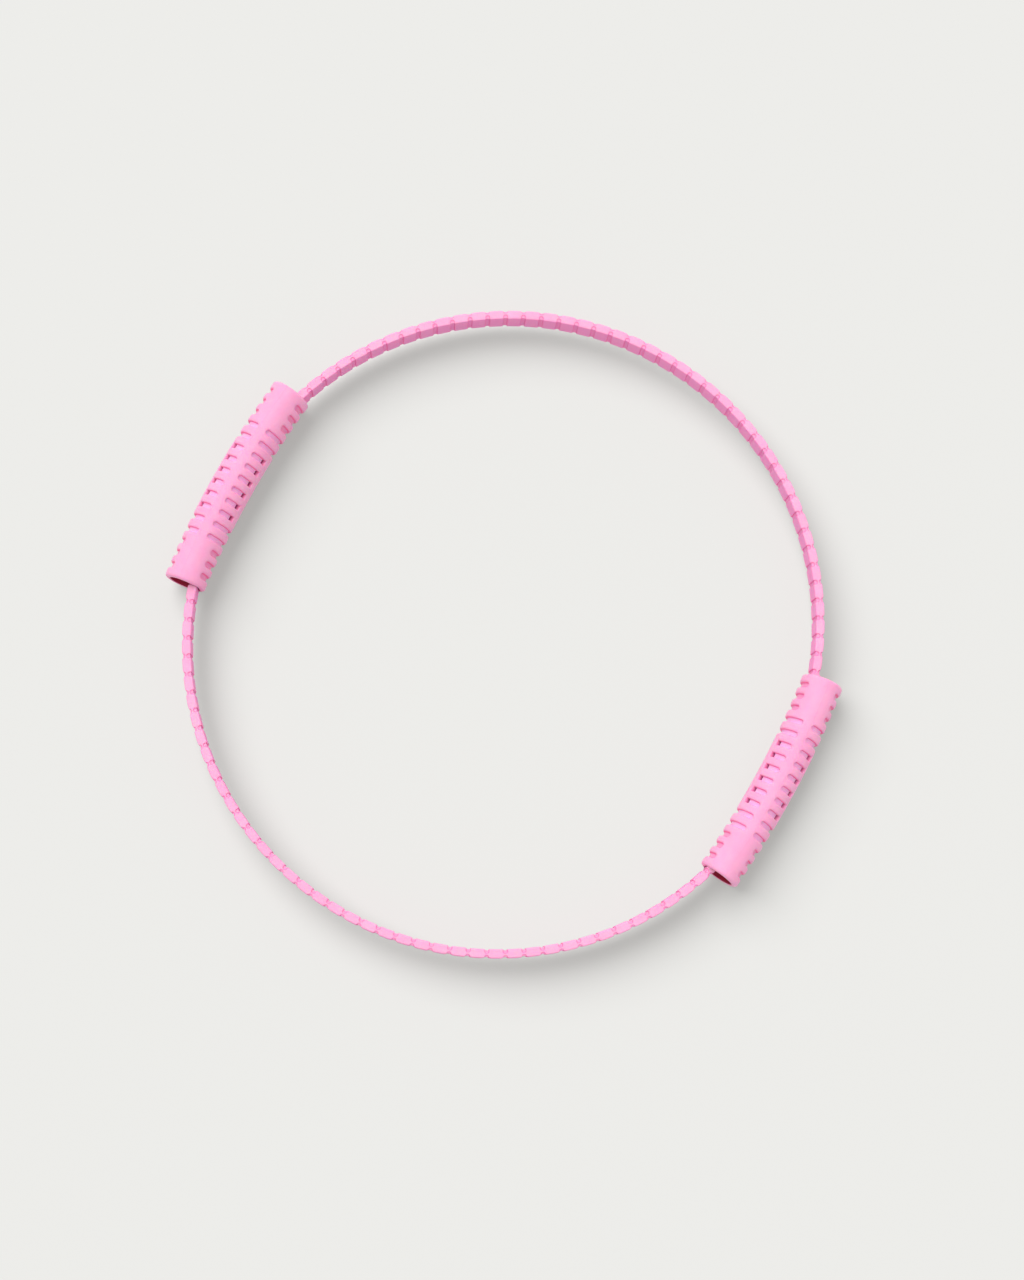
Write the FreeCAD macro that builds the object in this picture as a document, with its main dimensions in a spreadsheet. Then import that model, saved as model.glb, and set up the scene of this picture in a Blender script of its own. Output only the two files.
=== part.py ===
import FreeCAD, Part
import os
from math import asin, degrees, sqrt

import Sketcher
from FreeCAD import Placement, Rotation, Vector

# Flexible exercise ring: two notched half hoops joined inside two slotted hand grips.
# X runs through the grips, Y through the middle of the two arcs, Z is the hoop axis.
# The origin is the centre of the hoop. Everything is in millimetres.

os.makedirs("parts", exist_ok=True)
doc = FreeCAD.newDocument("hoop")

sizes = {
    # hoop path: half circles whose centres are moved apart, joined by short straights
    "hoopRadius": 178.6,
    "arcShift": 9.0,
    "jointGap": 0.3,
    # notched silicone cover of the bar
    "coverWide": 5.1,
    "coverTall": 16.0,
    "coverEdge": 1.0,
    "coverSpan": 167.6,
    "notchWide": 2.0,
    "notchDeep": 1.0,
    "notchDrop": 0.9,
    "notchReachIn": 2.4,
    "notchReachOut": 1.6,
    "notchPitch": 3.396,
    "notchCount": 49,
    # spring steel strip
    "coreThick": 1.3,
    "coreTall": 12.0,
    # joint inside each grip
    "ferruleWide": 7.6,
    "ferruleTall": 14.6,
    "ferruleHalf": 28.0,
    "rivetDia": 3.0,
    "rivetNear": 5.0,
    "rivetFar": 20.0,
    # hand grip, slightly bowed
    "gripMid": 179.7,
    "gripBow": 541.0,
    "gripHalf": 64.5,
    "gripWide": 12.2,
    "gripTall": 15.2,
    "gripEdge": 1.2,
    "gripWall": 3.2,
    "slotDeep": 2.65,
    "slotWide": 3.2,
    "linerWall": 1.0,
    "linerHalf": 38.5,
    "linerWindowTall": 13.7,
    "linerWindowHalf": 22.5,
    "bushThick": 5.0,
    "runClear": 0.6,
    "topClear": 0.35,
    # the left grip has slid this far round the hoop, in degrees
    "leftSlide": 1.2,
}

# slot rows of one half of the grip: distance from the middle, kind
slotRows = [
    (3.87, "panel"),
    (11.6, "panel"),
    (19.33, "panel"),
    (27.15, "wrap"),
    (35.05, "wrap"),
    (42.7, "short"),
    (50.1, "short"),
    (57.5, "short"),
]
# where a slot begins and ends across the grip, as a share of its half width
slotAcross = {"panel": (0.25, 0.91), "wrap": (0.25, 1.2), "short": (0.78, 1.2)}

sheet = doc.addObject("Spreadsheet::Sheet", "Sizes")
for row, (alias, value) in enumerate(sizes.items(), start=1):
    sheet.set("A%d" % row, alias)
    sheet.set("B%d" % row, str(value))
    sheet.setAlias("B%d" % row, alias)
doc.recompute()


def size(alias):
    return float(sheet.get(alias))


def originItem(body, role):
    for item in body.Origin.OriginFeatures:
        if item.Role == role:
            return item
    raise ValueError(role)


def newBody(label):
    body = doc.addObject("PartDesign::Body", label)
    body.Label = label
    return body


def newSketch(body, name, plane, offset=None):
    sketch = body.newObject("Sketcher::SketchObject", name)
    sketch.AttachmentSupport = [(originItem(body, plane), "")]
    sketch.MapMode = "FlatFace"
    if offset:
        sketch.AttachmentOffset = offset
    return sketch


def addRectangle(sketch, centre, wide, tall):
    """Rectangle centred on (centre, 0) whose centre, width and height are expressions."""
    first = sketch.GeometryCount
    mid, halfWide, halfTall = 100.0, 2.0, 5.0
    corners = [
        Vector(mid - halfWide, -halfTall, 0),
        Vector(mid + halfWide, -halfTall, 0),
        Vector(mid + halfWide, halfTall, 0),
        Vector(mid - halfWide, halfTall, 0),
    ]
    for index in range(4):
        sketch.addGeometry(Part.LineSegment(corners[index], corners[(index + 1) % 4]), False)
    for index in range(4):
        sketch.addConstraint(
            Sketcher.Constraint("Coincident", first + index, 2, first + (index + 1) % 4, 1)
        )
    sketch.addConstraint(Sketcher.Constraint("Horizontal", first))
    sketch.addConstraint(Sketcher.Constraint("Horizontal", first + 2))
    sketch.addConstraint(Sketcher.Constraint("Vertical", first + 1))
    sketch.addConstraint(Sketcher.Constraint("Vertical", first + 3))
    bind(sketch, Sketcher.Constraint("DistanceX", first, 1, first, 2, 2 * halfWide), wide)
    bind(sketch, Sketcher.Constraint("DistanceY", first + 1, 1, first + 1, 2, 2 * halfTall), tall)
    bind(
        sketch,
        Sketcher.Constraint("DistanceX", -1, 1, first, 1, mid - halfWide),
        "(%s) - (%s) / 2" % (centre, wide),
    )
    bind(
        sketch,
        Sketcher.Constraint("DistanceY", first, 1, -1, 1, halfTall),
        "(%s) / 2" % tall,
    )


def bind(sketch, constraint, expression):
    index = sketch.addConstraint(constraint)
    sketch.setExpression("Constraints[%d]" % index, expression)


def addEllipse(sketch, centre, halfWide, halfTall):
    """Ellipse centred on (centre, 0), taller than wide."""
    index = sketch.GeometryCount
    ellipse = Part.Ellipse(Vector(100, 13, 0), Vector(88, 0, 0), Vector(100, 0, 0))
    sketch.addGeometry(ellipse, False)
    sketch.exposeInternalGeometry(index)
    major, minor = index + 1, index + 2
    sketch.addConstraint(Sketcher.Constraint("Vertical", major))
    sketch.addConstraint(Sketcher.Constraint("PointOnObject", index, 3, -1))
    bind(sketch, Sketcher.Constraint("DistanceX", -1, 1, index, 3, 100.0), centre)
    bind(sketch, Sketcher.Constraint("Distance", major, 26.0), "2 * (%s)" % halfTall)
    bind(sketch, Sketcher.Constraint("Distance", minor, 24.0), "2 * (%s)" % halfWide)


def revolve(body, kind, sketch, angle, midplane=True, reverse=False, axis="V_Axis"):
    feature = body.newObject("PartDesign::" + kind, sketch.Name + kind)
    feature.Profile = sketch
    feature.ReferenceAxis = (sketch, [axis])
    feature.Midplane = midplane
    feature.Reversed = reverse
    feature.setExpression("Angle", angle)
    sketch.Visibility = False
    return feature


def pad(body, kind, sketch, length=None, midplane=False, reverse=False):
    feature = body.newObject("PartDesign::" + kind, sketch.Name + kind)
    feature.Profile = sketch
    feature.Midplane = midplane
    feature.Reversed = reverse
    if length:
        feature.setExpression("Length", length)
    else:
        feature.Type = "ThroughAll"
    sketch.Visibility = False
    return feature


def mirrored(name, source, normal):
    copy = doc.addObject("Part::Mirroring", name)
    copy.Label = name
    copy.Source = source
    copy.Normal = normal
    return copy


# Spring steel half hoops: half circle with a short straight tail at each end.
def makeCore(name):
    body = newBody(name)
    arc = newSketch(body, name + "Arc", "YZ_Plane")
    addRectangle(arc, "Sizes.hoopRadius", "Sizes.coreThick", "Sizes.coreTall")
    revolve(body, "Revolution", arc, "180")
    for side, turn in (("Right", 0.0), ("Left", 180.0)):
        tail = newSketch(body, name + side, "XZ_Plane")
        tail.AttachmentOffset = Placement(Vector(0, 0, 0), Rotation(Vector(0, 1, 0), turn))
        addRectangle(tail, "Sizes.hoopRadius", "Sizes.coreThick", "Sizes.coreTall")
        pad(body, "Pad", tail, "Sizes.arcShift - Sizes.jointGap", reverse=turn > 0)
    holes = newSketch(body, name + "Holes", "YZ_Plane")
    for place in ("Sizes.rivetNear", "Sizes.rivetFar"):
        addRivetCircle(holes, place + " - Sizes.arcShift")
    pad(body, "Pocket", holes, midplane=True)
    body.Placement = Placement(Vector(0, size("arcShift"), 0), Rotation())
    return body


def addRivetCircle(sketch, along):
    index = sketch.GeometryCount
    sketch.addGeometry(Part.Circle(Vector(7 + index * 9, 0, 0), Vector(0, 0, 1), 1.5), False)
    sketch.addConstraint(Sketcher.Constraint("PointOnObject", index, 3, -1))
    bind(sketch, Sketcher.Constraint("DistanceX", -1, 1, index, 3, 7.0 + index * 9), along)
    bind(sketch, Sketcher.Constraint("Diameter", index, 3.0), "Sizes.rivetDia")


# One tip-rounded outline across the bar or the grip, open on its wide side.
def addTongue(sketch, tip, back, wide):
    direction = 1.0 if tip > back else -1.0
    half = wide / 2
    turn = tip - direction * half
    below, above = Vector(0, -half, 0), Vector(0, half, 0)
    start, stop = Vector(back, 0, 0), Vector(turn, 0, 0)
    sketch.addGeometry(Part.LineSegment(start + below, stop + below), False)
    sketch.addGeometry(Part.LineSegment(stop + above, start + above), False)
    sketch.addGeometry(Part.LineSegment(start + above, start + below), False)
    middle = Vector(tip, 0, 0)
    sketch.addGeometry(Part.Arc(stop + below, middle, stop + above), False)


# Silicone covers: hollow bar, notched on both sides, the notches rounded on top and below.
def makeCover(name):
    body = newBody(name)
    arc = newSketch(body, name + "Arc", "YZ_Plane")
    addRectangle(arc, "Sizes.hoopRadius", "Sizes.coverWide", "Sizes.coverTall")
    revolve(body, "Revolution", arc, "Sizes.coverSpan")
    doc.recompute()
    roundEdges(body, name + "Fillet", "Sizes.coverEdge", 300, 900)
    inner = size("hoopRadius") - size("coverWide") / 2
    outer = size("hoopRadius") + size("coverWide") / 2
    wide = size("notchWide")
    firstTurn = -size("notchPitch") * (size("notchCount") - 1) / 2
    half = size("coverTall") / 2
    cuts = []
    turn = Rotation(Vector(0, 0, 1), 90 + firstTurn)
    for level, lift in (("Top", half), ("Under", -half)):
        sketch = newSketch(body, name + level, "XY_Plane", Placement(Vector(0, 0, lift), turn))
        addTongue(sketch, inner + size("notchReachIn"), inner - 1, wide)
        addTongue(sketch, outer - size("notchReachOut"), outer + 1, wide)
        cuts.append(pad(body, "Pocket", sketch, "Sizes.notchDrop", reverse=lift < 0))
    sides = newSketch(body, name + "Sides", "XY_Plane", Placement(Vector(0, 0, 0), turn))
    addBlock(sides, inner - 1, inner + size("notchDeep"), wide)
    addBlock(sides, outer - size("notchDeep"), outer + 1, wide)
    cuts.append(pad(body, "Pocket", sides, midplane=True))
    pattern = body.newObject("PartDesign::PolarPattern", name + "Notches")
    pattern.Originals = cuts
    pattern.Axis = (originItem(body, "Z_Axis"), [""])
    pattern.setExpression("Angle", "Sizes.notchPitch * (Sizes.notchCount - 1)")
    pattern.setExpression("Occurrences", "Sizes.notchCount")
    body.Tip = pattern
    channel = newSketch(body, name + "Channel", "YZ_Plane")
    addRectangle(channel, "Sizes.hoopRadius", "Sizes.coreThick", "Sizes.coreTall")
    revolve(body, "Groove", channel, "Sizes.coverSpan + 2")
    body.Placement = Placement(Vector(0, size("arcShift"), 0), Rotation())
    return body


def addBlock(sketch, start, stop, wide):
    corners = [
        Vector(start, -wide / 2, 0),
        Vector(stop, -wide / 2, 0),
        Vector(stop, wide / 2, 0),
        Vector(start, wide / 2, 0),
    ]
    for index in range(4):
        sketch.addGeometry(Part.LineSegment(corners[index], corners[(index + 1) % 4]), False)


def roundEdges(body, name, radius, shortest, longest):
    base = body.Tip
    edges = [
        "Edge%d" % (index + 1)
        for index, edge in enumerate(base.Shape.Edges)
        if shortest < edge.Length < longest
    ]
    fillet = body.newObject("PartDesign::Fillet", name)
    fillet.Base = (base, edges)
    fillet.setExpression("Radius", radius)


# Joint ferrules: bent box sections that hold both strip ends inside a grip.
def makeFerrule(name):
    body = newBody(name)
    straight = newSketch(body, name + "Straight", "XZ_Plane")
    addRectangle(straight, "Sizes.hoopRadius", "Sizes.ferruleWide", "Sizes.ferruleTall")
    pad(body, "Pad", straight, "2 * Sizes.arcShift", midplane=True)
    bend = degrees(asin((size("ferruleHalf") - size("arcShift")) / size("hoopRadius")))
    for side, sign in (("Up", 1), ("Down", -1)):
        offset = Placement(Vector(0, 0, -sign * size("arcShift")), Rotation())
        sketch = newSketch(body, name + side, "XZ_Plane", offset)
        addRectangle(sketch, "Sizes.hoopRadius", "Sizes.ferruleWide", "Sizes.ferruleTall")
        revolve(body, "Revolution", sketch, "%f" % bend, midplane=False, reverse=sign < 0)
    hollow = newSketch(body, name + "Hollow", "XZ_Plane")
    addRectangle(hollow, "Sizes.hoopRadius", "Sizes.coreThick", "Sizes.coreTall")
    pad(body, "Pocket", hollow, "2 * Sizes.arcShift", midplane=True)
    for side, sign in (("HollowUp", 1), ("HollowDown", -1)):
        offset = Placement(Vector(0, 0, -sign * size("arcShift")), Rotation())
        sketch = newSketch(body, name + side, "XZ_Plane", offset)
        addRectangle(sketch, "Sizes.hoopRadius", "Sizes.coreThick", "Sizes.coreTall")
        revolve(body, "Groove", sketch, "%f" % (bend + 1), midplane=False, reverse=sign < 0)
    holes = newSketch(body, name + "Holes", "YZ_Plane")
    for place in ("-Sizes.rivetFar", "-Sizes.rivetNear", "Sizes.rivetNear", "Sizes.rivetFar"):
        addRivetCircle(holes, place)
    pad(body, "Pocket", holes, midplane=True)
    return body


# Flush rivets through ferrule and strip.
def makeRivets(name):
    rivets = []
    for side in (1, -1):
        for along in ("Near", "Far"):
            for half in (1, -1):
                rivets.append(makeRivet("rivet%d" % len(rivets), side, along, half))
    group = doc.addObject("Part::Compound", name)
    group.Label = name
    group.Links = rivets
    return group


def makeRivet(name, side, along, half):
    inward = size("rivet" + along) - size("arcShift")
    drop = 0.0 if inward < 0 else size("hoopRadius") - sqrt(size("hoopRadius") ** 2 - inward**2)
    centre = Vector(side * (size("hoopRadius") - drop), half * size("rivet" + along), 0)
    cylinder = doc.addObject("Part::Cylinder", name)
    cylinder.setExpression("Radius", "Sizes.rivetDia / 2")
    cylinder.setExpression("Height", "Sizes.ferruleWide")
    start = centre - Vector(size("ferruleWide") / 2, 0, 0)
    cylinder.Placement = Placement(start, Rotation(Vector(0, 1, 0), 90))
    return cylinder


# Grip parts share one local frame whose Z axis is the centre of the grip's bow.
def gripPlace():
    return Placement(Vector(size("gripMid") - size("gripBow"), 0, 0), Rotation())


def shrunk(*walls):
    less = "".join(" - " + wall for wall in walls)
    return "Sizes.gripWide" + less, "Sizes.gripTall" + less


def bowAngle(distance):
    return degrees(distance / size("gripBow"))


# Clearance channel for the bar, following the upper or lower arc through the grip.
def cutChannel(body, name, sign, sweep):
    offset = Placement(Vector(0, 0, -sign * size("arcShift")), Rotation())
    sketch = newSketch(body, name, "XZ_Plane", offset)
    centre = size("gripBow") - size("gripMid")
    mid = centre + size("hoopRadius")
    halfWide = size("coverWide") / 2 + size("runClear")
    halfTall = size("coverTall") / 2 + size("topClear")
    corners = [
        Vector(mid - halfWide, -halfTall, 0),
        Vector(mid + halfWide, -halfTall, 0),
        Vector(mid + halfWide, halfTall, 0),
        Vector(mid - halfWide, halfTall, 0),
    ]
    for index in range(4):
        sketch.addGeometry(Part.LineSegment(corners[index], corners[(index + 1) % 4]), False)
    axis = Part.LineSegment(Vector(centre, -20, 0), Vector(centre, 20, 0))
    sketch.addGeometry(axis, True)
    return revolve(body, "Groove", sketch, "%f" % sweep, False, sign < 0, "Axis0")


# Slotted silicone sleeve with a loose bore, seated on the liner in its middle.
def makeSleeve(name):
    body = newBody(name)
    outside = newSketch(body, name + "Outside", "XZ_Plane")
    addEllipse(outside, "Sizes.gripBow", "Sizes.gripWide", "Sizes.gripTall")
    span = 2 * bowAngle(size("gripHalf"))
    revolve(body, "Revolution", outside, "%f" % span)
    doc.recompute()
    roundEdges(body, name + "Rims", "Sizes.gripEdge", 70, 90)
    bore = newSketch(body, name + "Bore", "XZ_Plane")
    addEllipse(bore, "Sizes.gripBow", *shrunk("Sizes.gripWall"))
    revolve(body, "Groove", bore, "%f" % (span + 1))
    seat = newSketch(body, name + "Seat", "XZ_Plane")
    addEllipse(seat, "Sizes.gripBow", *shrunk("Sizes.slotDeep"))
    revolve(body, "Groove", seat, "%f" % (2 * bowAngle(size("linerHalf"))))
    for side, sign in (("Up", 1), ("Down", -1)):
        cutChannel(body, name + "Mouth" + side, sign, 25)
    cuts = []
    for row, (distance, kind) in enumerate(slotRows):
        turn = Placement(Vector(0, 0, 0), Rotation(Vector(0, 0, 1), bowAngle(distance)))
        sketch = newSketch(body, "%sRow%d" % (name, row), "XY_Plane", turn)
        near, far = slotAcross[kind]
        for side in (-1, 1):
            tip = size("gripBow") + side * near * size("gripWide")
            back = size("gripBow") + side * far * size("gripWide")
            addTongue(sketch, tip, back, size("slotWide"))
        cuts.append(pad(body, "Pocket", sketch, midplane=True))
    mirror = body.newObject("PartDesign::Mirrored", name + "Rows")
    mirror.Originals = cuts
    mirror.MirrorPlane = (originItem(body, "XZ_Plane"), [""])
    body.Tip = mirror
    body.Placement = gripPlace()
    return body


# Stiff liner tube under the long slots, with a window on each side.
def makeLiner(name):
    body = newBody(name)
    tube = newSketch(body, name + "Tube", "XZ_Plane")
    addEllipse(tube, "Sizes.gripBow", *shrunk("Sizes.slotDeep"))
    span = 2 * bowAngle(size("linerHalf"))
    revolve(body, "Revolution", tube, "%f" % span)
    bore = newSketch(body, name + "Bore", "XZ_Plane")
    addEllipse(bore, "Sizes.gripBow", *shrunk("Sizes.slotDeep", "Sizes.linerWall"))
    revolve(body, "Groove", bore, "%f" % (span + 1))
    window = newSketch(body, name + "Window", "YZ_Plane")
    half = size("linerWindowHalf")
    tall = size("linerWindowTall") / 2
    corners = [Vector(-half, -tall, 0), Vector(half, -tall, 0), Vector(half, tall, 0), Vector(-half, tall, 0)]
    for index in range(4):
        window.addGeometry(Part.LineSegment(corners[index], corners[(index + 1) % 4]), False)
    pad(body, "Pocket", window, midplane=True)
    body.Placement = gripPlace()
    return body


# Guide bush pressed into one end of the liner; the bar runs through it with play.
def makeBush(name, sign):
    body = newBody(name)
    middle = bowAngle(size("linerHalf") - size("bushThick") / 2)
    turn = Placement(Vector(0, 0, 0), Rotation(Vector(0, 1, 0), sign * middle))
    disc = newSketch(body, name + "Disc", "XZ_Plane", turn)
    addEllipse(disc, "Sizes.gripBow", *shrunk("Sizes.slotDeep", "Sizes.linerWall"))
    revolve(body, "Revolution", disc, "%f" % bowAngle(size("bushThick")))
    cutChannel(body, name + "Hole", sign, 25)
    body.Placement = gripPlace()
    return body


nodes = {}
for part, make in (("core_band", makeCore), ("arc_cover", makeCover)):
    nodes["upper_" + part] = make("upper_" + part)
    nodes["lower_" + part] = mirrored("lower_" + part, nodes["upper_" + part], Vector(0, 1, 0))
gripMakers = {
    "joint_ferrule": makeFerrule,
    "grip_sleeve": makeSleeve,
    "grip_liner": makeLiner,
    "grip_upper_bush": lambda name: makeBush(name, 1),
    "grip_lower_bush": lambda name: makeBush(name, -1),
}
for part, make in gripMakers.items():
    nodes["right_" + part] = make("right_" + part)
    nodes["left_" + part] = mirrored("left_" + part, nodes["right_" + part], Vector(1, 0, 0))
    if part.startswith("grip"):
        slide = Rotation(Vector(0, 0, 1), size("leftSlide"))
        nodes["left_" + part].Placement = Placement(Vector(0, 0, 0), slide)
nodes["joint_rivets"] = makeRivets("joint_rivets")
doc.recompute()

for item in doc.Objects:
    if "Invalid" in item.State or "Error" in item.State:
        raise RuntimeError("%s did not recompute: %s" % (item.Name, item.State))
for name, item in nodes.items():
    shape = item.Shape
    if shape.isNull() or not shape.isValid():
        raise RuntimeError("%s has no valid shape" % name)
    box = shape.BoundBox
    print("%-26s solids %d volume %9.1f  x %.1f %.1f  y %.1f %.1f  z %.1f %.1f" % (
        name, len(shape.Solids), shape.Volume,
        box.XMin, box.XMax, box.YMin, box.YMax, box.ZMin, box.ZMax))
    shape.exportStep("parts/%s.step" % name)
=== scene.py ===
import math

import bmesh
import bpy
import numpy as np
from mathutils import Matrix, Vector


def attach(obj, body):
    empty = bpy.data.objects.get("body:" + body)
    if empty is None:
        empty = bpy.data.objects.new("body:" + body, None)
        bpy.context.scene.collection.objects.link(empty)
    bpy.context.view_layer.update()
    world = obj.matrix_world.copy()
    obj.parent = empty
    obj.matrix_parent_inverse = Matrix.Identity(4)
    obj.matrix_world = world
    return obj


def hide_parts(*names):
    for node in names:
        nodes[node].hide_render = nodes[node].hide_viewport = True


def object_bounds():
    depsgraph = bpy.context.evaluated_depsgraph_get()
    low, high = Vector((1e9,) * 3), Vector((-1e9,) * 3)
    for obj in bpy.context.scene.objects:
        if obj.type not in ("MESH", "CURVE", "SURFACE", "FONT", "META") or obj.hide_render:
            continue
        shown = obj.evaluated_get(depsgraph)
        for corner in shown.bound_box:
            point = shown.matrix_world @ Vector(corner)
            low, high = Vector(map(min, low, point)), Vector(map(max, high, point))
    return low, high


# Flexible exercise ring: a notched silicone bar bent round a hoop, with a slotted sleeve as
# hand grip on each side. X runs through the grips, Y through the middle of the arcs and
# Z is the hoop's axis. Shapes below are worked out in millimetres and built in metres.

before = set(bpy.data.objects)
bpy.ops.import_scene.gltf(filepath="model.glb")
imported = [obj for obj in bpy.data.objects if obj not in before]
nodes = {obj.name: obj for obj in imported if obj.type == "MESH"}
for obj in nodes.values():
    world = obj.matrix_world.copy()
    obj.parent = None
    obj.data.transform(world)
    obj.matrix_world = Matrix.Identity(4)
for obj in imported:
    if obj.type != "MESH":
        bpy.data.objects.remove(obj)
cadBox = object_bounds()
mm = 0.001
weldDistance = 0.02 * mm


def meshObject(name, points, faces, values=None):
    mesh = bpy.data.meshes.new(name)
    mesh.from_pydata([tuple(point) for point in np.asarray(points) * mm], [], faces)
    for label, numbers in (values or {}).items():
        layer = mesh.attributes.new(label, "FLOAT", "POINT")
        layer.data.foreach_set("value", np.asarray(numbers, dtype=np.float32))
    mesh.update()
    piece = bpy.data.objects.new(name, mesh)
    bpy.context.scene.collection.objects.link(piece)
    return piece


def gridFaces(rows, columns, wrap):
    # quads of a grid stored row by row; wrap closes it along the rows
    faces = []
    last = columns if wrap else columns - 1
    for row in range(rows - 1):
        for column in range(last):
            right = (column + 1) % columns
            faces.append((row * columns + column, row * columns + right,
                          (row + 1) * columns + right, (row + 1) * columns + column))
    return faces


def joinPieces(name, pieces):
    # one mesh from several, doubles merged and normals turned outwards
    whole = bmesh.new()
    for piece in pieces:
        whole.from_mesh(piece.data)
    bmesh.ops.remove_doubles(whole, verts=whole.verts, dist=weldDistance)
    bmesh.ops.holes_fill(whole, edges=[edge for edge in whole.edges if edge.is_boundary], sides=0)
    bmesh.ops.recalc_face_normals(whole, faces=whole.faces)
    mesh = bpy.data.meshes.new(name)
    whole.to_mesh(mesh)
    whole.free()
    for piece in pieces:
        bpy.data.objects.remove(piece)
    joined = bpy.data.objects.new(name, mesh)
    bpy.context.scene.collection.objects.link(joined)
    joined.data.polygons.foreach_set("use_smooth", [True] * len(joined.data.polygons))
    return joined


def makeRepeatTree():
    tree = bpy.data.node_groups.new("repeatRoundCentre", "GeometryNodeTree")
    face = tree.interface
    face.new_socket("Geometry", in_out="INPUT", socket_type="NodeSocketGeometry")
    face.new_socket("Count", in_out="INPUT", socket_type="NodeSocketInt")
    face.new_socket("Pitch angle", in_out="INPUT", socket_type="NodeSocketFloat")
    face.new_socket("First angle", in_out="INPUT", socket_type="NodeSocketFloat")
    face.new_socket("Centre", in_out="INPUT", socket_type="NodeSocketVector")
    face.new_socket("Weld distance", in_out="INPUT", socket_type="NodeSocketFloat")
    face.new_socket("Finish", in_out="INPUT", socket_type="NodeSocketMaterial")
    face.new_socket("Geometry", in_out="OUTPUT", socket_type="NodeSocketGeometry")
    make = tree.nodes.new
    join = tree.links.new
    given = make("NodeGroupInput")
    result = make("NodeGroupOutput")
    points = make("GeometryNodePoints")
    index = make("GeometryNodeInputIndex")
    turn = make("ShaderNodeMath")
    turn.operation = "MULTIPLY_ADD"
    axis = make("ShaderNodeCombineXYZ")
    euler = make("FunctionNodeEulerToRotation")
    place = make("GeometryNodeInstanceOnPoints")
    realize = make("GeometryNodeRealizeInstances")
    weld = make("GeometryNodeMergeByDistance")
    smooth = make("GeometryNodeSetShadeSmooth")
    finish = make("GeometryNodeSetMaterial")
    join(given.outputs["Count"], points.inputs["Count"])
    join(given.outputs["Centre"], points.inputs["Position"])
    join(index.outputs["Index"], turn.inputs[0])
    join(given.outputs["Pitch angle"], turn.inputs[1])
    join(given.outputs["First angle"], turn.inputs[2])
    join(turn.outputs[0], axis.inputs["Z"])
    join(axis.outputs[0], euler.inputs[0])
    join(points.outputs[0], place.inputs["Points"])
    join(given.outputs["Geometry"], place.inputs["Instance"])
    join(euler.outputs[0], place.inputs["Rotation"])
    join(place.outputs[0], realize.inputs[0])
    join(realize.outputs[0], weld.inputs["Geometry"])
    join(given.outputs["Weld distance"], weld.inputs["Distance"])
    join(weld.outputs[0], smooth.inputs["Geometry"])
    join(smooth.outputs[0], finish.inputs["Geometry"])
    join(given.outputs["Finish"], finish.inputs["Material"])
    join(finish.outputs[0], result.inputs[0])
    return tree


def repeatRound(name, tile, count, pitch, first, centre, finish):
    # tile is drawn on the X axis round the origin; angles in degrees, centre in millimetres
    holder = bpy.data.objects.new(name + "Run", tile.data)
    bpy.context.scene.collection.objects.link(holder)
    modifier = holder.modifiers.new("repeat", "NODES")
    modifier.node_group = repeatTree
    values = {
        "Count": count,
        "Pitch angle": math.radians(pitch),
        "First angle": math.radians(first),
        "Centre": [part * mm for part in centre],
        "Weld distance": weldDistance,
        "Finish": finish,
    }
    for item in repeatTree.interface.items_tree:
        if item.in_out == "INPUT" and item.name in values:
            modifier[item.identifier] = values[item.name]
    graph = bpy.context.evaluated_depsgraph_get()
    mesh = bpy.data.meshes.new_from_object(holder.evaluated_get(graph))
    holder.modifiers.remove(modifier)
    bpy.data.objects.remove(holder)
    piece = bpy.data.objects.new(name, mesh)
    bpy.context.scene.collection.objects.link(piece)
    return piece


repeatTree = makeRepeatTree()


def newMaterial(name):
    material = bpy.data.materials.new(name)
    material.use_nodes = True
    tree = material.node_tree
    shader = tree.nodes["Principled BSDF"]
    return material, tree, shader


def noise(tree, source, scale, detail=3.0, rough=0.55):
    node = tree.nodes.new("ShaderNodeTexNoise")
    node.inputs["Scale"].default_value = scale
    node.inputs["Detail"].default_value = detail
    node.inputs["Roughness"].default_value = rough
    tree.links.new(source, node.inputs["Vector"])
    return node.outputs["Fac"]


def ramp(tree, source, low, high, bottom=0.0, top=1.0):
    node = tree.nodes.new("ShaderNodeMapRange")
    node.interpolation_type = "SMOOTHSTEP"
    node.inputs["From Min"].default_value = low
    node.inputs["From Max"].default_value = high
    node.inputs["To Min"].default_value = bottom
    node.inputs["To Max"].default_value = top
    tree.links.new(source, node.inputs["Value"])
    return node.outputs["Result"]


def mixColour(tree, factor, first, second):
    node = tree.nodes.new("ShaderNodeMix")
    node.data_type = "RGBA"
    sockets = (node.inputs[0], node.inputs[6], node.inputs[7])
    for socket, value in zip(sockets, (factor, first, second)):
        if isinstance(value, bpy.types.NodeSocket):
            tree.links.new(value, socket)
        elif isinstance(value, float):
            socket.default_value = value
        else:
            socket.default_value = (*value, 1.0)
    return node.outputs[2]


def times(tree, first, second):
    node = tree.nodes.new("ShaderNodeMath")
    node.operation = "MULTIPLY"
    for socket, value in zip(node.inputs, (first, second)):
        if isinstance(value, float):
            socket.default_value = value
        else:
            tree.links.new(value, socket)
    return node.outputs[0]


def attribute(tree, name):
    node = tree.nodes.new("ShaderNodeAttribute")
    node.attribute_name = name
    return node.outputs["Fac"]


def bump(tree, height, strength, distance, under=None):
    node = tree.nodes.new("ShaderNodeBump")
    node.inputs["Strength"].default_value = strength
    node.inputs["Distance"].default_value = distance
    tree.links.new(height, node.inputs["Height"])
    if under:
        tree.links.new(under, node.inputs["Normal"])
    return node.outputs["Normal"]


def objectPoint(tree, stretch=(1, 1, 1)):
    coordinate = tree.nodes.new("ShaderNodeTexCoord")
    mapping = tree.nodes.new("ShaderNodeMapping")
    mapping.inputs["Scale"].default_value = stretch
    tree.links.new(coordinate.outputs["Object"], mapping.inputs["Vector"])
    return mapping.outputs["Vector"]


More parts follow.
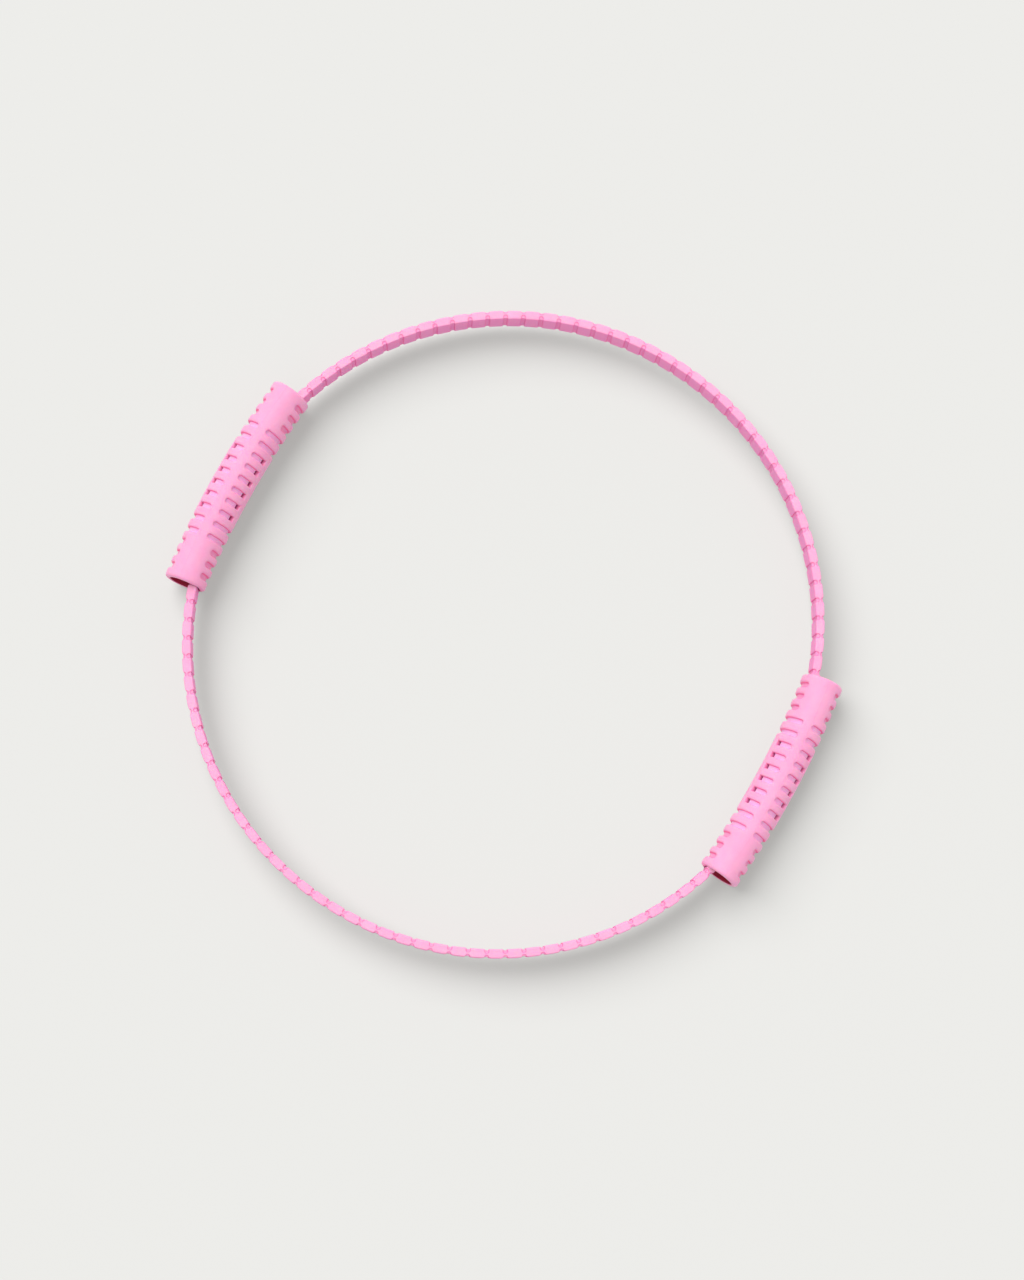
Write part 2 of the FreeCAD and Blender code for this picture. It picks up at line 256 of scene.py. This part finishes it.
# grain and softness that both silicones share; a bump is strength, height in metres
silicone = {
    "cloudScale": 60.0,
    "mottleScale": 900.0,
    "speckPatchScale": 45.0,
    "skinScale": 2600.0,
    "skinBump": (0.16, 0.00006),
    "waveScale": 140.0,
    "waveBump": (0.25, 0.00025),
    "seamBump": (0.45, 0.00012),
    "seamTint": 0.12,
    "roughSwing": 0.06,
    "softRadius": (1.0, 0.18, 0.40),
    "softScale": 0.0016,
    "specular": 0.35,
    "sheenRough": 0.5,
    "sheenTint": (1.0, 0.85, 0.95, 1.0),
}


def siliconeFinish(name, look):
    # matt dyed silicone: cloudy pigment, fine skin, a few specks; deeper pink in recesses is painted
    # shade
    material, tree, shader = newMaterial(name)
    point = objectPoint(tree)
    cloud = ramp(tree, noise(tree, point, silicone["cloudScale"], 4.0), 0.35, 0.65)
    colour = mixColour(tree, cloud, look["pink"], look["pinkPale"])
    mottle = ramp(tree, noise(tree, point, silicone["mottleScale"], 2.0), 0.3, 0.75)
    deeper = mixColour(tree, look["mottle"], colour, look["pinkDeep"])
    colour = mixColour(tree, mottle, colour, deeper)
    # painted shade: the bar's side faces take a deeper pink than its top
    if "flankShade" in look:
        colour = mixColour(tree, attribute(tree, "flankShade"), colour, look["flankShade"])
    # painted shade, deeper the further down a notch or slot
    deep = times(tree, attribute(tree, "recessShade"), look["recessShadeShare"])
    colour = mixColour(tree, deep, colour, look["recessShade"])
    # painted shade line along the middle of notch and slot walls
    wall = attribute(tree, "wall")
    colour = mixColour(tree, times(tree, wall, look["wallShadeShare"]), colour, look["wall"])
    if "floor" in look:
        colour = mixColour(tree, attribute(tree, "floor"), colour, look["floor"])
        # painted shade: dark maroon in the slot pits, dark red down the bore
        colour = mixColour(tree, attribute(tree, "pit"), colour, look["pit"])
        colour = mixColour(tree, attribute(tree, "bore"), colour, look["bore"])
    cells = tree.nodes.new("ShaderNodeTexVoronoi")
    cells.inputs["Scale"].default_value = look["speckScale"]
    tree.links.new(point, cells.inputs["Vector"])
    speck = ramp(tree, cells.outputs["Distance"], 0.035, 0.055, 1.0, 0.0)
    speckPick = ramp(tree, noise(tree, point, silicone["speckPatchScale"], 0.0), 0.60, 0.62)
    colour = mixColour(tree, times(tree, speck, speckPick), colour, look["speck"])
    skin = noise(tree, point, silicone["skinScale"], 3.0)
    wave = noise(tree, point, silicone["waveScale"], 2.0)
    normal = bump(tree, skin, *silicone["skinBump"])
    normal = bump(tree, wave, *silicone["waveBump"], normal)
    if "seamAngle" in look:
        # mould parting line that runs along the sleeve
        away = tree.nodes.new("ShaderNodeMath")
        away.operation = "SUBTRACT"
        away.inputs[1].default_value = look["seamAngle"]
        tree.links.new(attribute(tree, "around"), away.inputs[0])
        size = tree.nodes.new("ShaderNodeMath")
        size.operation = "ABSOLUTE"
        tree.links.new(away.outputs[0], size.inputs[0])
        seam = ramp(tree, size.outputs[0], 0.35, 1.1, 1.0, 0.0)
        normal = bump(tree, seam, *silicone["seamBump"], normal)
        colour = mixColour(tree, times(tree, seam, silicone["seamTint"]), colour, look["pinkDeep"])
    tree.links.new(colour, shader.inputs["Base Color"])
    tree.links.new(normal, shader.inputs["Normal"])
    swing = silicone["roughSwing"]
    rough = ramp(tree, wave, 0.2, 0.8, look["rough"] - swing, look["rough"] + swing)
    tree.links.new(rough, shader.inputs["Roughness"])
    shader.inputs["Subsurface Weight"].default_value = look["soft"]
    shader.inputs["Subsurface Radius"].default_value = silicone["softRadius"]
    shader.inputs["Subsurface Scale"].default_value = silicone["softScale"]
    shader.inputs["Specular IOR Level"].default_value = silicone["specular"]
    shader.inputs["Sheen Weight"].default_value = look["sheen"]
    shader.inputs["Sheen Roughness"].default_value = silicone["sheenRough"]
    shader.inputs["Sheen Tint"].default_value = silicone["sheenTint"]
    return material


def plasticFinish(name, look):
    # moulded plastic: flow streaks along the tube and a fine spark-eroded skin
    material, tree, shader = newMaterial(name)
    point = objectPoint(tree)
    streak = ramp(tree, noise(tree, objectPoint(tree, (1, 0.15, 1)), 260.0, 3.0), 0.3, 0.7)
    colour = mixColour(tree, streak, look["main"], look["pale"])
    skin = noise(tree, point, 2200.0, 2.0)
    tree.links.new(colour, shader.inputs["Base Color"])
    tree.links.new(bump(tree, skin, 0.2, 0.00006), shader.inputs["Normal"])
    tree.links.new(ramp(tree, streak, 0.0, 1.0, 0.42, 0.52), shader.inputs["Roughness"])
    return material


def metalFinish(name, look):
    # rolled or brushed metal: long scratches, small stains
    material, tree, shader = newMaterial(name)
    point = objectPoint(tree)
    lines = noise(tree, objectPoint(tree, look["stretch"]), look["lineScale"], 4.0, 0.7)
    stain = ramp(tree, noise(tree, point, 90.0, 4.0), 0.45, 0.75)
    colour = mixColour(tree, ramp(tree, lines, 0.3, 0.7), look["main"], look["pale"])
    colour = mixColour(tree, stain, colour, look["stain"])
    tree.links.new(colour, shader.inputs["Base Color"])
    tree.links.new(bump(tree, lines, 0.3, 0.00003), shader.inputs["Normal"])
    tree.links.new(ramp(tree, lines, 0.3, 0.7, 0.28, 0.42), shader.inputs["Roughness"])
    shader.inputs["Metallic"].default_value = 1.0
    return material


coverLook = {
    "pink": (0.93, 0.40, 0.62),
    "pinkPale": (0.95, 0.43, 0.645),
    "pinkDeep": (0.86, 0.24, 0.50),
    # painted shade on the bar's side faces
    "flankShade": (0.93, 0.27, 0.57),
    # painted shade in the notches, and a painted shade line along their walls
    "recessShade": (0.88, 0.20, 0.50),
    "recessShadeShare": 0.30,
    "wall": (0.84, 0.05, 0.30),
    "wallShadeShare": 0.65,
    "mottle": 0.10,
    "speck": (0.45, 0.16, 0.28),
    "speckScale": 220.0,
    "rough": 0.58,
    "soft": 0.40,
    "sheen": 0.04,
}
gripLook = {
    "pink": (0.93, 0.375, 0.60),
    "pinkPale": (0.95, 0.405, 0.625),
    "pinkDeep": (0.86, 0.24, 0.50),
    # painted shade in the slots, and a painted shade line along their walls
    "recessShade": (0.90, 0.17, 0.46),
    "recessShadeShare": 0.35,
    "wall": (0.98, 0.05, 0.28),
    "wallShadeShare": 0.85,
    "floor": (0.96, 0.46, 0.76),
    # painted shade: dark maroon in the slot pits, dark red down the bore
    "pit": (0.40, 0.02, 0.18),
    "bore": (0.42, 0.02, 0.06),
    "mottle": 0.10,
    "speck": (0.40, 0.15, 0.26),
    "speckScale": 240.0,
    "seamAngle": 9.0,
    "rough": 0.58,
    "soft": 0.40,
    "sheen": 0.04,
}
coverSilicone = siliconeFinish("coverSilicone", coverLook)
gripSilicone = siliconeFinish("gripSilicone", gripLook)
finishes = {
    "core_band": metalFinish("springSteel", {
        "main": (0.36, 0.38, 0.42), "pale": (0.55, 0.56, 0.58), "stain": (0.30, 0.27, 0.25),
        "stretch": (0.15, 0.15, 1.0), "lineScale": 3800.0}),
    "joint_ferrule": metalFinish("ferruleAluminium", {
        "main": (0.62, 0.63, 0.65), "pale": (0.78, 0.78, 0.79), "stain": (0.52, 0.52, 0.53),
        "stretch": (1.0, 0.08, 1.0), "lineScale": 3000.0}),
    "joint_rivets": metalFinish("rivetSteel", {
        "main": (0.50, 0.50, 0.51), "pale": (0.66, 0.66, 0.67), "stain": (0.40, 0.38, 0.36),
        "stretch": (1.0, 1.0, 1.0), "lineScale": 2600.0}),
    "grip_liner": plasticFinish("linerPlastic", {"main": (0.78, 0.32, 0.70), "pale": (0.84, 0.40, 0.76)}),
    # the bush's plastic is darkened as painted shade where it shows inside the grip mouth
    "bush": plasticFinish("bushPlasticPaintedShade", {"main": (0.50, 0.08, 0.26), "pale": (0.58, 0.12, 0.33)}),
}
for name, node in nodes.items():
    for ending, finish in finishes.items():
        if name.endswith(ending):
            node.data.materials.clear()
            node.data.materials.append(finish)
print("finishes made")


bar = {
    "radius": 178.6,
    "shift": 9.0,
    "halfWide": 2.55,
    "halfTall": 8.0,
    "edge": 0.75,
    "pitch": 3.396,
    "count": 49,
    "notchHalf": 1.12,
    "notchDeepIn": 0.75,
    "notchDeepOut": 1.3,
    "notchDeepTop": 0.5,
    "reachIn": 2.45,
    "reachOut": 1.55,
}
# depth of a notch across its rim, from the floor outwards; the outer side has a wide chamfer
notchRim = {
    "crisp": ((-0.26, 1.0), (-0.14, 0.94), (-0.03, 0.66), (0.06, 0.34), (0.18, 0.14), (0.4, 0.04),
              (0.8, 0.0)),
    "wide": ((-0.35, 1.0), (-0.12, 0.86), (0.1, 0.56), (0.35, 0.28), (0.7, 0.08), (1.15, 0.0)),
}


def barProfile():
    # rounded rectangle, clockwise from the middle of the top face: x outwards, z up
    wide, tall, edge = bar["halfWide"], bar["halfTall"], bar["edge"]
    flatX, flatZ = wide - edge, tall - edge
    across = np.linspace(0, flatX, 7)
    down = np.array([0.985, 0.9, 0.55, 0.0]) * flatZ
    quarter = [(x, tall, 0.0, 1.0) for x in across]
    for angle in np.radians((18, 36, 54, 72, 90)):
        sin, cos = math.sin(angle), math.cos(angle)
        quarter.append((flatX + edge * sin, flatZ + edge * cos, sin, cos))
    quarter += [(wide, z, 1.0, 0.0) for z in down[1:]]
    right = quarter + [(x, -z, nx, -nz) for x, z, nx, nz in quarter[-2::-1]]
    left = [(-x, z, -nx, nz) for x, z, nx, nz in right[-2:0:-1]]
    return np.array(right + left)


def notchDepth(x, nx, across):
    # share of the full notch depth at x on the profile, across millimetres from its middle
    half = bar["notchHalf"]
    if abs(nx) > 0.99:
        outside = abs(across) - half
    else:
        reach = bar["reachOut"] if x > 0 else bar["reachIn"]
        turn = bar["halfWide"] - reach + half
        inward = turn - abs(x)
        outside = (math.hypot(across, inward) if inward > 0 else abs(across)) - half
    crisp = np.interp(outside, *zip(*notchRim["crisp"]))
    if x < 0:
        return crisp
    return crisp + (np.interp(outside, *zip(*notchRim["wide"])) - crisp) * nx * nx


def makeBarTile():
    profile = barProfile()
    half = bar["radius"] * math.radians(bar["pitch"]) / 2
    side = [0.4, 0.74, 0.88, 0.98, 1.06, 1.13, 1.21, 1.31, 1.45, 1.65, 1.98, 2.7, 3.9, half]
    columns = [-place for place in side[::-1]] + [0.0] + side
    points, recessShade, flankShade, wall = [], [], [], []
    for across in columns:
        angle = across / bar["radius"]
        for x, z, nx, nz in profile:
            share = notchDepth(x, nx, across)
            deep = bar["notchDeepOut"] if x > 0 else bar["notchDeepIn"]
            depth = share * (deep * nx * nx + bar["notchDeepTop"] * nz * nz)
            radius = bar["radius"] + x - depth * nx
            points.append((radius * math.cos(angle), radius * math.sin(angle), z - depth * nz))
            # weights for painted shade: deep in the notch, on the side faces, along the notch walls
            recessShade.append(share)
            flankShade.append(nx * nx)
            wall.append(4 * share * (1 - share))
    faces = gridFaces(len(columns), len(profile), True)
    return meshObject("barTile", points, faces, {"recessShade": recessShade, "flankShade": flankShade, "wall": wall})


barTile = makeBarTile()
for side, middle, sign in (("upper", 90.0, 1), ("lower", 270.0, -1)):
    first = middle - bar["pitch"] * (bar["count"] - 1) / 2
    centre = (0, sign * bar["shift"], 0)
    run = repeatRound(side + "Run", barTile, bar["count"], bar["pitch"], first, centre, coverSilicone)
    cover = joinPieces(side + "_notched_bar", [run])
    cover.data.materials.append(coverSilicone)
    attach(cover, "hoop")
    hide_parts(side + "_arc_cover")
bpy.data.objects.remove(barTile)
print("bars made")


grip = {
    "middle": 179.7,
    "bow": 541.0,
    "halfLong": 64.5,
    "halfWide": 12.2,
    "halfTall": 15.2,
    "rim": 1.7,
    "wall": 3.2,
    "slotHalf": 1.5,
    "slotDeep": 1.95,
    "shortDeep": 1.75,
    "pitDeep": 3.9,
    "pitFrom": 58.0,
    "pitTo": 66.0,
    "longTip": 14.5,
    "shortTip": 45.0,
    "seat": 2.68,
    "seatHalf": 38.5,
    "leftSlide": 1.2,
    "barRoom": 0.6,
    "barRoomTop": 0.35,
}
# rows of slots: kind, how many, pitch, middle of the first row
slotRows = [
    ("panel", 6, 7.73, -19.325),
    ("wrap", 2, 7.9, 27.14),
    ("wrap", 2, 7.9, -35.04),
    ("short", 3, 7.4, 42.69),
    ("short", 3, 7.4, -57.49),
]
# depth of a slot across its lip, from the skin to the floor
slotLip = {
    "long": ((-0.34, 1.0), (-0.20, 0.94), (-0.10, 0.66), (0.0, 0.36), (0.12, 0.22), (0.3, 0.12),
             (0.6, 0.045), (1.1, 0.0)),
    "short": ((-0.5, 1.0), (-0.3, 0.93), (-0.1, 0.70), (0.1, 0.45), (0.3, 0.27), (0.6, 0.12),
              (1.0, 0.035), (1.6, 0.0)),
}
# angles round a quarter of the sleeve, closest together at the slots' tips and ends
quarterAngles = [
    0, 4, 8, 11, 12.6, 13.6, 14.4, 15.2, 16.2, 17.4, 18.8, 20.4, 22.4, 26, 32, 38, 42, 43.8, 44.7,
    45.6, 46.6, 47.8, 49.2, 51, 53.5, 56.5, 57.6, 58.2, 59.2, 62, 64.8, 65.6, 66.1, 66.7, 68, 71,
    76, 83, 90,
]


def sleeveAngles():
    down = quarterAngles + [180 - angle for angle in quarterAngles[-2::-1]]
    return np.array(down + [-angle for angle in down[-2:0:-1]], dtype=float)


def ellipseRing(angles, depth):
    # points on the sleeve's oval, depth below its skin
    turn = np.radians(angles)
    x, z = grip["halfWide"] * np.sin(turn), grip["halfTall"] * np.cos(turn)
    nx, nz = np.sin(turn) / grip["halfWide"], np.cos(turn) / grip["halfTall"]
    size = np.hypot(nx, nz)
    return x - depth * nx / size, z - depth * nz / size


def skinDistance():
    # arc length from the top of the oval to each angle of a quarter
    fine = np.linspace(0, 90, 901)
    x, z = ellipseRing(fine, 0.0)
    steps = np.hypot(np.diff(x), np.diff(z))
    return fine, np.concatenate([[0.0], np.cumsum(steps)])


fineAngle, fineLength = skinDistance()
sleeveTurns = sleeveAngles()


def bendPoint(along, x, z):
    # along the bowed axis, x across it, z up; bow centre at the origin
    angle = along / grip["bow"]
    radius = grip["bow"] + x
    return radius * math.cos(angle), radius * math.sin(angle), z


def slotDepth(kind, angle, across):
    # returns depth, share of slot floor and share of pit
    low = abs(angle)
    low = min(low, 180 - low)
    half = grip["slotHalf"]
    tip = grip["shortTip"] if kind == "short" else grip["longTip"]
    place = np.interp(low, fineAngle, fineLength)
    turn = np.interp(tip, fineAngle, fineLength) + half
    outside = (math.hypot(across, turn - place) if place < turn else abs(across)) - half
    if kind == "panel":
        end = np.interp(grip["pitTo"], fineAngle, fineLength)
        outside = max(outside, place - end)
    share = float(np.interp(outside, *zip(*slotLip["short" if kind == "short" else "long"])))
    deep = grip["shortDeep"] if kind == "short" else grip["slotDeep"]
    depth = share * deep
    pit = 0.0
    if kind == "panel":
        start = np.interp(grip["pitFrom"], fineAngle, fineLength)
        inside = min(place - start, -outside)
        pit = float(np.interp(inside, [0.0, 0.12], [0.0, 1.0]))
        depth += pit * (grip["pitDeep"] - deep)
    floor = 0.0 if kind == "short" else float(np.interp(share, [0.8, 0.96], [0.0, 1.0]))
    return depth, share, floor * (1 - pit), pit


def makeSlotTile(kind, pitch):
    side = [0.6, 1.0, 1.16, 1.26, 1.34, 1.41, 1.5, 1.62, 1.8, 2.05, 2.35, 2.75, 3.2, pitch / 2]
    columns = [-place for place in side[::-1]] + [0.0] + side
    points, values = [], {label: [] for label in ("recessShade", "wall", "floor", "pit", "around", "bore")}
    for across in columns:
        for angle in sleeveTurns:
            depth, share, floor, pit = slotDepth(kind, angle, across)
            x, z = ellipseRing(angle, depth)
            points.append(bendPoint(across, x, z))
            # painted shade line along the slot walls, left out in the pit
            wall = max(0.0, 1 - abs(share - 0.62) / 0.38) * (1 - pit)
            for label, number in zip(values, (share, wall, floor, pit, angle, 0.0)):
                values[label].append(number)
    return meshObject(kind + "Tile", points, gridFaces(len(columns), len(sleeveTurns), True), values)


def barOffset(along):
    # how far the bar's middle lies from the grip's axis, across it
    angle = abs(along) / grip["bow"]
    start = grip["middle"] - grip["bow"]
    cos, sin = math.cos(angle), math.sin(angle)
    shift = bar["shift"]
    half = start * cos - shift * sin
    rest = start * start + shift * shift - bar["radius"] ** 2
    return -half + math.sqrt(half * half - rest) - grip["bow"]


def boreRing(along):
    # oval bore widened by the slit that the bar runs in
    turn = np.radians(sleeveTurns)
    x = (grip["halfWide"] - grip["wall"]) * np.sin(turn)
    z = (grip["halfTall"] - grip["wall"]) * np.cos(turn)
    offset = barOffset(along)
    reach = bar["halfWide"] + grip["barRoom"]
    far, near = abs(offset) + reach, max(abs(offset) - reach, 0.0)
    tall = bar["halfTall"] + grip["barRoomTop"]
    stretch = np.minimum(far / np.maximum(abs(x), 1e-6), tall / np.maximum(abs(z), 1e-6))
    inside = (x < 0) & (stretch * abs(x) >= near)
    stretch = np.where(inside, np.maximum(stretch, 1.0), 1.0)
    return x * stretch, z * stretch


def makeSleeveInside(outerEnd):
    # from one end of the slotted rows over the rim, through the bore and out at the other end
    rings = []
    rim, end = grip["rim"], grip["halfLong"]
    for along in (outerEnd, outerEnd + 0.8, end - rim):
        rings.append((along, *ellipseRing(sleeveTurns, 0.0), 0.0))
    for angle in np.radians((18, 36, 54, 72, 90)):
        x, z = ellipseRing(sleeveTurns, rim * (1 - math.cos(angle)))
        rings.append((end - rim + rim * math.sin(angle), x, z, 0.0))
    mouthX, mouthZ = boreRing(end)
    lastX, lastZ = rings[-1][1], rings[-1][2]
    for share, drop in ((0.55, 0.0), (0.9, 0.0), (0.985, 0.12)):
        x = lastX + (mouthX - lastX) * share
        z = lastZ + (mouthZ - lastZ) * share
        rings.append((end - drop, x, z, 0.3 * share))
    for along in (end - 0.4, 63.0, 61.0, 58.0, 54.0, 50.0, 46.0, 42.0, grip["seatHalf"] + 0.1):
        rings.append((along, *boreRing(along), 1.0))
    seatX, seatZ = ellipseRing(sleeveTurns, grip["seat"])
    rings.append((grip["seatHalf"], seatX, seatZ, 1.0))
    low = np.minimum(abs(sleeveTurns), 180 - abs(sleeveTurns))
    nearPit = (low > grip["pitFrom"] - 0.5) & (low < grip["pitTo"] + 1.0)
    pocket = np.where(nearPit, grip["pitDeep"] + 0.25, grip["seat"])
    pocketX, pocketZ = ellipseRing(sleeveTurns, pocket)
    for row in (19.325, 11.595, 3.865):
        rings.append((row + 1.95, seatX, seatZ, 1.0))
        rings.append((row + 1.75, pocketX, pocketZ, 1.0))
        rings.append((row - 1.75, pocketX, pocketZ, 1.0))
        rings.append((row - 1.95, seatX, seatZ, 1.0))
    rings += [(-along, x, z, bore) for along, x, z, bore in rings[::-1]]
    # each ring's last number weights the painted shade down the bore
    points, bores = [], []
    for along, x, z, bore in rings:
        points += [bendPoint(along, px, pz) for px, pz in zip(x, z)]
        bores += [bore] * len(sleeveTurns)
    points = np.array(points) + np.array([grip["middle"] - grip["bow"], 0, 0])
    zero = [0.0] * len(bores)
    around = list(sleeveTurns) * len(rings)
    values = {"recessShade": zero, "wall": zero, "floor": zero, "pit": zero, "around": around, "bore": bores}
    return meshObject("sleeveInside", points, gridFaces(len(rings), len(sleeveTurns), True), values)


def makeSleeve(name, left):
    centre = (grip["middle"] - grip["bow"], 0, 0)
    runs = []
    for number, (kind, count, pitch, first) in enumerate(slotRows):
        tile = makeSlotTile(kind, pitch)
        step = math.degrees(pitch / grip["bow"])
        start = math.degrees(first / grip["bow"])
        runs.append(repeatRound(kind + str(number), tile, count, step, start, centre, gripSilicone))
        bpy.data.objects.remove(tile)
    outerEnd = slotRows[3][3] + slotRows[3][2] * 2.5
    sleeve = joinPieces(name, runs + [makeSleeveInside(outerEnd)])
    if left:
        slide = Matrix.Rotation(math.radians(grip["leftSlide"]), 4, "Z")
        sleeve.data.transform(slide @ Matrix.Diagonal((-1, 1, 1, 1)))
        sleeve.data.flip_normals()
    sleeve.data.materials.clear()
    sleeve.data.materials.append(gripSilicone)
    return sleeve


for side in ("right", "left"):
    sleeve = makeSleeve(side + "_slotted_sleeve", side == "left")
    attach(sleeve, side + "_grip")
    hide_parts(side + "_grip_sleeve")
print("grips made")


studio = {
    "floorColour": (0.165, 0.160, 0.158),
    "floorGlow": (0.335, 0.348, 0.330),
    "skyStrength": 0.70,
    "skyColour": (1.0, 1.0, 1.0),
    "floorHalf": 3000,
}
# two soft lamps: one draws the shadow on the floor, the other shades the ring
lamps = {
    "shadowLamp": {
        "strength": 9.6, "softness": 52.0, "azimuth": 161.6, "elevation": 50.0, "floorOnly": True},
    "formLamp": {
        "strength": 2.0, "softness": 60.0, "azimuth": 135.0, "elevation": 57.0, "floorOnly": False},
}
camera = {
    "place": (53.3, -204.0, 1317.7),
    "turn": (8.542, -2.471, 29.145),
    "lens": 64.69,
}


def makeFloor():
    low = cadBox[0][2] / mm
    half = studio["floorHalf"]
    points = [(-half, -half, low), (half, -half, low), (half, half, low), (-half, half, low)]
    floor = meshObject("floor", points, [(0, 1, 2, 3)])
    material, tree, shader = newMaterial("floorPaper")
    point = objectPoint(tree)
    tone = ramp(tree, noise(tree, point, 3.0, 2.0), 0.2, 0.8)
    pale = tuple(part * 1.004 for part in studio["floorColour"])
    tree.links.new(mixColour(tree, tone, studio["floorColour"], pale), shader.inputs["Base Color"])
    shader.inputs["Roughness"].default_value = 0.9
    shader.inputs["Specular IOR Level"].default_value = 0.1
    shader.inputs["Emission Color"].default_value = (*studio["floorGlow"], 1.0)
    shader.inputs["Emission Strength"].default_value = 1.0
    floor.data.materials.append(material)
    return floor


def makeLamp(name, look, floor):
    sun = bpy.data.lights.new(name, "SUN")
    sun.energy = look["strength"]
    sun.angle = math.radians(look["softness"])
    holder = bpy.data.objects.new(name, sun)
    bpy.context.scene.collection.objects.link(holder)
    azimuth, elevation = math.radians(look["azimuth"]), math.radians(look["elevation"])
    level = math.cos(elevation)
    towards = Vector((math.cos(azimuth) * level, math.sin(azimuth) * level, math.sin(elevation)))
    holder.rotation_euler = towards.to_track_quat("Z", "Y").to_euler()
    lit = bpy.data.collections.new(name + "Lights")
    lit.objects.link(floor)
    holder.light_linking.receiver_collection = lit
    lit.collection_objects[0].light_linking.link_state = "INCLUDE" if look["floorOnly"] else "EXCLUDE"


def makeSky():
    world = bpy.data.worlds.new("studioSky")
    world.use_nodes = True
    sky = world.node_tree.nodes["Background"]
    sky.inputs["Color"].default_value = (*studio["skyColour"], 1.0)
    sky.inputs["Strength"].default_value = studio["skyStrength"]
    bpy.context.scene.world = world


def makeCamera():
    data = bpy.data.cameras.new("camera")
    data.sensor_width = 36.0
    data.lens = camera["lens"]
    data.clip_end = 20.0
    holder = bpy.data.objects.new("camera", data)
    bpy.context.scene.collection.objects.link(holder)
    holder.location = [part * mm for part in camera["place"]]
    holder.rotation_euler = [math.radians(part) for part in camera["turn"]]
    bpy.context.scene.camera = holder


floor = makeFloor()
for name, look in lamps.items():
    makeLamp(name, look, floor)
makeSky()
makeCamera()
bpy.context.scene.view_settings.view_transform = "Standard"
print("studio made")
